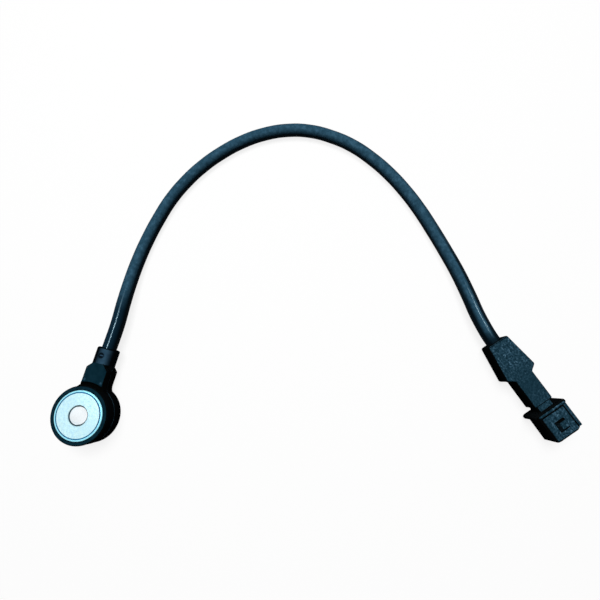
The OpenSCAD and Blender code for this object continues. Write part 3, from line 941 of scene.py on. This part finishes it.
def lead_jacket():
    """Extruded rubber jacket: blue-black, with pale dust and painted light on its upper side and
    painted shade on its sides, clean near the boss, a painted shadow at the boot, and a thin
    line painted pale as a highlight, under a glossy coat, along the top near both ends"""
    material, tree, shader = finish_of("lead_jacket", roughness=0.65, specular=0.02)
    where = place_on(tree)
    boss_face, boot_face = lead_route()[0], Vector(PLUG_AT)
    bloom = noise(tree, where, 2.0, detail=5, roughness=0.6)
    dust = ramp(tree, bloom, [(0.32, "#244557"), (0.5, "#2e5267"), (0.68, "#3d647b")])
    # Painted light: faces turned this way get the lit dust colour, and the rest painted shade
    over = Vector((-0.06, -0.09, 1)).normalized()
    top = facing(tree, over, 0.35, 0.95)
    # Painted shade on the right arm's outer side, and on both sides of the last stretch to the
    # plug
    right_arm = along(tree, where, (1, 0, 0), 0, 35)
    painted_side_shade = combined(tree, "MULTIPLY", facing(tree, (0.3, 0.95, 0), 0.12, 0.36), right_arm)
    last_stretch = near(tree, where, boot_face, 18, 45)
    slopes = span(tree, facing(tree, over, 0.72, 0.95), 0, 1, 1, 0)
    painted_side_shade = combined(tree, "MAXIMUM", painted_side_shade, combined(tree, "MULTIPLY", slopes, last_stretch))
    dust_and_painted_light = blend(tree, painted_side_shade, blend(tree, top, "#050f16", dust), "#07131b")
    # Clean jacket near the boss, with painted light on top and painted shade on its sides
    painted_light_and_shade = blend(tree, top, "#02070b", "#0f2838")
    normal = add(tree, "ShaderNodeNewGeometry").outputs["Normal"]
    # Each end: the way that is level and square to the lead there, the painted highlight line's
    # lean that way, and where the line starts
    ends = (
        (boss_face, (OUT[1], -OUT[0], 0), 0.117, (0, 1)),
        (boot_face, (0, 1, 0), -0.025, (4, 8)),
    )
    coated_painted_streaks = []
    for end, side, lean, start in ends:
        across = add(tree, "ShaderNodeVectorMath", {0: normal, 1: side}, operation="DOT_PRODUCT")
        off = combined(tree, "SUBTRACT", across.outputs["Value"], lean)
        line = span(tree, combined(tree, "MULTIPLY", off, off), 0.03 ** 2, 0.1 ** 2, 1, 0)
        begun = span(tree, near(tree, where, end, *start), 0, 1, 1, 0)
        reach = combined(tree, "MULTIPLY", near(tree, where, end, 20, 34), begun)
        coated_painted_streaks.append(combined(tree, "MULTIPLY", line, reach))
    colour = blend(tree, near(tree, where, boss_face, 20, 32), dust_and_painted_light, painted_light_and_shade)
    # Painted shadow on the lead where it meets the boot
    colour = blend(tree, near(tree, where, boot_face, 3, 8), colour, "#050e15")
    coated_painted_streak = combined(tree, "MAXIMUM", *coated_painted_streaks)
    # The line is painted pale as a highlight, and a glossy coat lies on it
    tree.links.new(blend(tree, coated_painted_streak, colour, "#3f687c"), shader.inputs["Base Color"])
    tree.links.new(coated_painted_streak, shader.inputs["Coat Weight"])
    shader.inputs["Coat Roughness"].default_value = 0.15
    bump(tree, shader, noise(tree, where, 1.1, detail=3), 0.015)
    return material


def zinc_plate():
    """Turned steel with clear zinc plate: pale and cool, faintly mottled, with turning marks,
    a bluer ring outside the land, painted shade in its groove and on its bore's mouth chamfer,
    and a bright bore"""
    material, tree, shader = finish_of("zinc_plate", roughness=0.33, metallic=1.0)
    where = place_on(tree)
    mottle = noise(tree, where, 1.3, detail=5, roughness=0.65)
    plate = ramp(tree, mottle, [(0.32, "#aed1e3"), (0.5, "#bfdfe6"), (0.68, "#cbe9eb")])
    parts = add(tree, "ShaderNodeSeparateXYZ", {"Vector": where})
    flat = add(tree, "ShaderNodeCombineXYZ", {"X": parts.outputs["X"], "Y": parts.outputs["Y"]})
    away = add(tree, "ShaderNodeVectorMath", {0: flat.outputs[0]}, operation="LENGTH")
    out = away.outputs["Value"]
    groove = LAND_R + GROOVE_W / 2
    outer = span(tree, out, groove * MM, (groove + 0.1) * MM, 0, 1)
    plate = blend(tree, outer, plate, "#9adff0")
    # Painted shade darkens the groove below the land's face
    off = combined(tree, "SUBTRACT", out, groove * MM)
    in_groove = span(tree, combined(tree, "MULTIPLY", off, off), 0, (0.35 * MM) ** 2, 1.6, 0)
    sunk = span(tree, parts.outputs["Z"], (SLEEVE_H - 0.15) * MM, (SLEEVE_H - 0.05) * MM, 1, 0)
    plate = blend(tree, combined(tree, "MULTIPLY", in_groove, sunk), plate, "#256a93")
    # Painted shade on the chamfer of the bore's mouth
    mouth = span(tree, out, (BORE_R + 0.5) * MM, (BORE_R + 0.6) * MM, 1, 0)
    plate = blend(tree, mouth, plate, "#2c4852")
    bore = span(tree, out, (BORE_R + 0.03) * MM, (BORE_R + 0.1) * MM, 1, 0)
    tree.links.new(blend(tree, bore, plate, "#f6fcff"), shader.inputs["Base Color"])
    wear_and_sheen = span(tree, mottle, 0.3, 0.7, 0.38, 0.28)
    # The reamed bore is smoother than the turned faces
    polish = add(tree, "ShaderNodeMix", {"Factor": bore, 2: wear_and_sheen, 3: 0.1}, data_type="FLOAT")
    tree.links.new(polish.outputs[0], shader.inputs["Roughness"])
    # Turning marks 0.15 mm apart; the wave repeats every 0.314 of its own units
    marks = add(tree, "ShaderNodeTexWave", {
        "Vector": where, "Scale": 0.314 / (0.15 * MM), "Distortion": 0.4, "Detail": 1.0},
        wave_type="RINGS", rings_direction="Z")
    bump(tree, shader, marks.outputs["Fac"], 0.004)
    return material


def plain_steel():
    """Oiled steel, turned: mid grey, with fine rings"""
    material, tree, shader = finish_of("plain_steel", roughness=0.38, metallic=1.0)
    where = place_on(tree)
    film = noise(tree, where, 2.0, detail=3)
    tree.links.new(
        ramp(tree, film, [(0.3, "#8a9094"), (0.7, "#a7acb0")]), shader.inputs["Base Color"])
    tree.links.new(span(tree, film, 0.3, 0.7, 0.32, 0.46), shader.inputs["Roughness"])
    return material


def brass_sheet():
    """Stamped brass: warm yellow, with a soft rolled sheen"""
    material, tree, shader = finish_of("brass_sheet", roughness=0.3, metallic=1.0)
    tint = noise(tree, place_on(tree), 1.5, detail=3)
    tree.links.new(
        ramp(tree, tint, [(0.3, "#c79c4b"), (0.7, "#dcb765")]), shader.inputs["Base Color"])
    tree.links.new(span(tree, tint, 0.3, 0.7, 0.26, 0.38), shader.inputs["Roughness"])
    return material


def tin_plate():
    """Tin on brass: soft white metal, slightly cloudy"""
    material, tree, shader = finish_of("tin_plate", roughness=0.3, metallic=1.0)
    cloud = noise(tree, place_on(tree), 0.8, detail=3)
    tree.links.new(
        ramp(tree, cloud, [(0.3, "#c3c8cc"), (0.7, "#dfe3e6")]), shader.inputs["Base Color"])
    tree.links.new(span(tree, cloud, 0.3, 0.7, 0.22, 0.36), shader.inputs["Roughness"])
    return material


def ground_ceramic():
    """Ground piezo ceramic: warm off-white and matt, with a fine grain"""
    material, tree, shader = finish_of("ground_ceramic", roughness=0.55)
    grain = noise(tree, place_on(tree), 0.4, detail=3)
    tree.links.new(
        ramp(tree, grain, [(0.3, "#d5cfbf"), (0.7, "#e8e3d5")]), shader.inputs["Base Color"])
    bump(tree, shader, grain, 0.008)
    return material


def polyimide_film():
    """Amber film: smooth and slightly glossy, darker where it is thicker"""
    material, tree, shader = finish_of("polyimide_film", roughness=0.25)
    tint = noise(tree, place_on(tree), 2.5, detail=2)
    tree.links.new(
        ramp(tree, tint, [(0.3, "#a8702a"), (0.7, "#c48b3c")]), shader.inputs["Base Color"])
    return material


def core_insulation(name, dark, pale):
    """Extruded core insulation: smooth, with a faint change of shade along it"""
    material, tree, shader = finish_of(name, roughness=0.42)
    tint = noise(tree, place_on(tree), 1.2, detail=2)
    tree.links.new(ramp(tree, tint, [(0.3, dark), (0.7, pale)]), shader.inputs["Base Color"])
    return material


MATERIALS = {
    "moulding": moulded_nylon(),
    "plug_moulding": eroded_nylon(),
    "jacket": lead_jacket(),
    "zinc_steel": zinc_plate(),
    "spring_steel": plain_steel(),
    "contact_brass": brass_sheet(),
    "tinned": tin_plate(),
    "crystal": ground_ceramic(),
    "insulator": polyimide_film(),
    "core_pale": core_insulation("pale_core", "#ddd7c8", "#efeadd"),
    "core_dark": core_insulation("dark_core", "#23282c", "#343a3f"),
}


def dress(piece, slot, *nodes):
    """Gives a new piece its finish, its body and the nodes that it stands for"""
    piece.data.materials.clear()
    piece.data.materials.append(MATERIALS[slot])
    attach(piece, "root")
    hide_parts(*nodes)


def dress_inner_nodes(replaced):
    """The blades and the pieces held inside keep their own solids and get a finish"""
    for part in frame["record"]["subparts"]:
        if part["node"] in replaced:
            continue
        solid = frame["nodes"][part["node"]]
        for place in solid.material_slots:
            place.material = MATERIALS[part["material_slot"]]


dress(lead, "jacket", "lead")
boot = make_boot()
dress(boot, "plug_moulding", "boot")
plug_shell = make_plug_shell()
dress(plug_shell, "plug_moulding", "plug_shell")
dress(make_sleeve(), "zinc_steel", "sleeve")
dress(make_housing(), "moulding", "housing")
dress_inner_nodes(("lead", "boot", "plug_shell", "sleeve", "housing"))


# Floor and light

def seen_directly(tree):
    """1 for what the camera, a mirror or glass sees, and 0 for light that falls on the part"""
    path = add(tree, "ShaderNodeLightPath")
    mirror = add(tree, "ShaderNodeMath", {
        0: path.outputs["Is Glossy Ray"], 1: path.outputs["Is Transmission Ray"]},
        operation="ADD")
    direct = add(tree, "ShaderNodeMath", {
        0: mirror.outputs[0], 1: path.outputs["Is Camera Ray"]},
        operation="ADD", use_clamp=True)
    return direct.outputs[0]


def make_floor():
    """Plain pale table, seen white by the camera with the part's soft shadow on it"""
    deselect_all()
    bpy.ops.mesh.primitive_plane_add(size=4, location=(0, 0.1, 0))
    floor = bpy.context.object
    floor.name = "table"
    material = bpy.data.materials.new("table_card")
    material.use_nodes = True
    tree = material.node_tree
    tree.nodes.clear()
    dim = add(tree, "ShaderNodeBsdfDiffuse", {"Color": linear("#202020")})
    pale = add(tree, "ShaderNodeBsdfDiffuse", {"Color": linear("#ffffff")})
    glow = add(tree, "ShaderNodeEmission", {"Color": linear("#ffffff"), "Strength": 1.03})
    seen = add(tree, "ShaderNodeMixShader", {
        "Fac": 0.82, 1: pale.outputs[0], 2: glow.outputs[0]})
    both = add(tree, "ShaderNodeMixShader", {
        "Fac": seen_directly(tree), 1: dim.outputs[0], 2: seen.outputs[0]})
    add(tree, "ShaderNodeOutputMaterial", {"Surface": both.outputs[0]})
    floor.data.materials.append(material)


def softbox(name, place, size, watts, tint="#ffffff", **seen):
    """A rectangular lamp that faces the part, placed and sized in metres; seen keeps it out of
    some kinds of ray"""
    data = bpy.data.lights.new(name, "AREA")
    data.shape = "RECTANGLE"
    data.size, data.size_y = size
    data.energy = watts
    data.color = linear(tint)[:3]
    lamp = bpy.data.objects.new(name, data)
    bpy.context.scene.collection.objects.link(lamp)
    lamp.location = place
    lamp.rotation_euler = (Vector(place) - Vector((0, 0.1, 0))).to_track_quat("Z", "Y").to_euler()
    for rays, state in seen.items():
        setattr(lamp, rays, state)


def light_the_part():
    """An overhead softbox, two strip lamps whose reflections run along the coated ends of
    the lead, and a white studio that the camera and the steel see"""
    softbox("overhead", (-0.2, 0.22, 0.9), (0.5, 0.5), 7.5, visible_glossy=False)
    sky = "#cfeef8"
    softbox("strip_left", (-0.243, -0.107, 0.9), (0.24, 0.06), 1.5, sky, visible_diffuse=False)
    softbox("strip_right", (-0.01, 0.52, 0.9), (0.28, 0.06), 0.9, sky, visible_diffuse=False)
    world = bpy.data.worlds.new("studio")
    bpy.context.scene.world = world
    world.use_nodes = True
    tree = world.node_tree
    tree.nodes.clear()
    dim = add(tree, "ShaderNodeBackground", {"Color": linear("#ffffff"), "Strength": 0.05})
    white = add(tree, "ShaderNodeBackground", {"Color": linear("#ffffff"), "Strength": 1.0})
    mixed = add(tree, "ShaderNodeMixShader", {
        "Fac": seen_directly(tree), 1: dim.outputs[0], 2: white.outputs[0]})
    add(tree, "ShaderNodeOutputWorld", {"Surface": mixed.outputs[0]})
    bpy.context.scene.view_settings.view_transform = "Standard"


make_floor()
light_the_part()
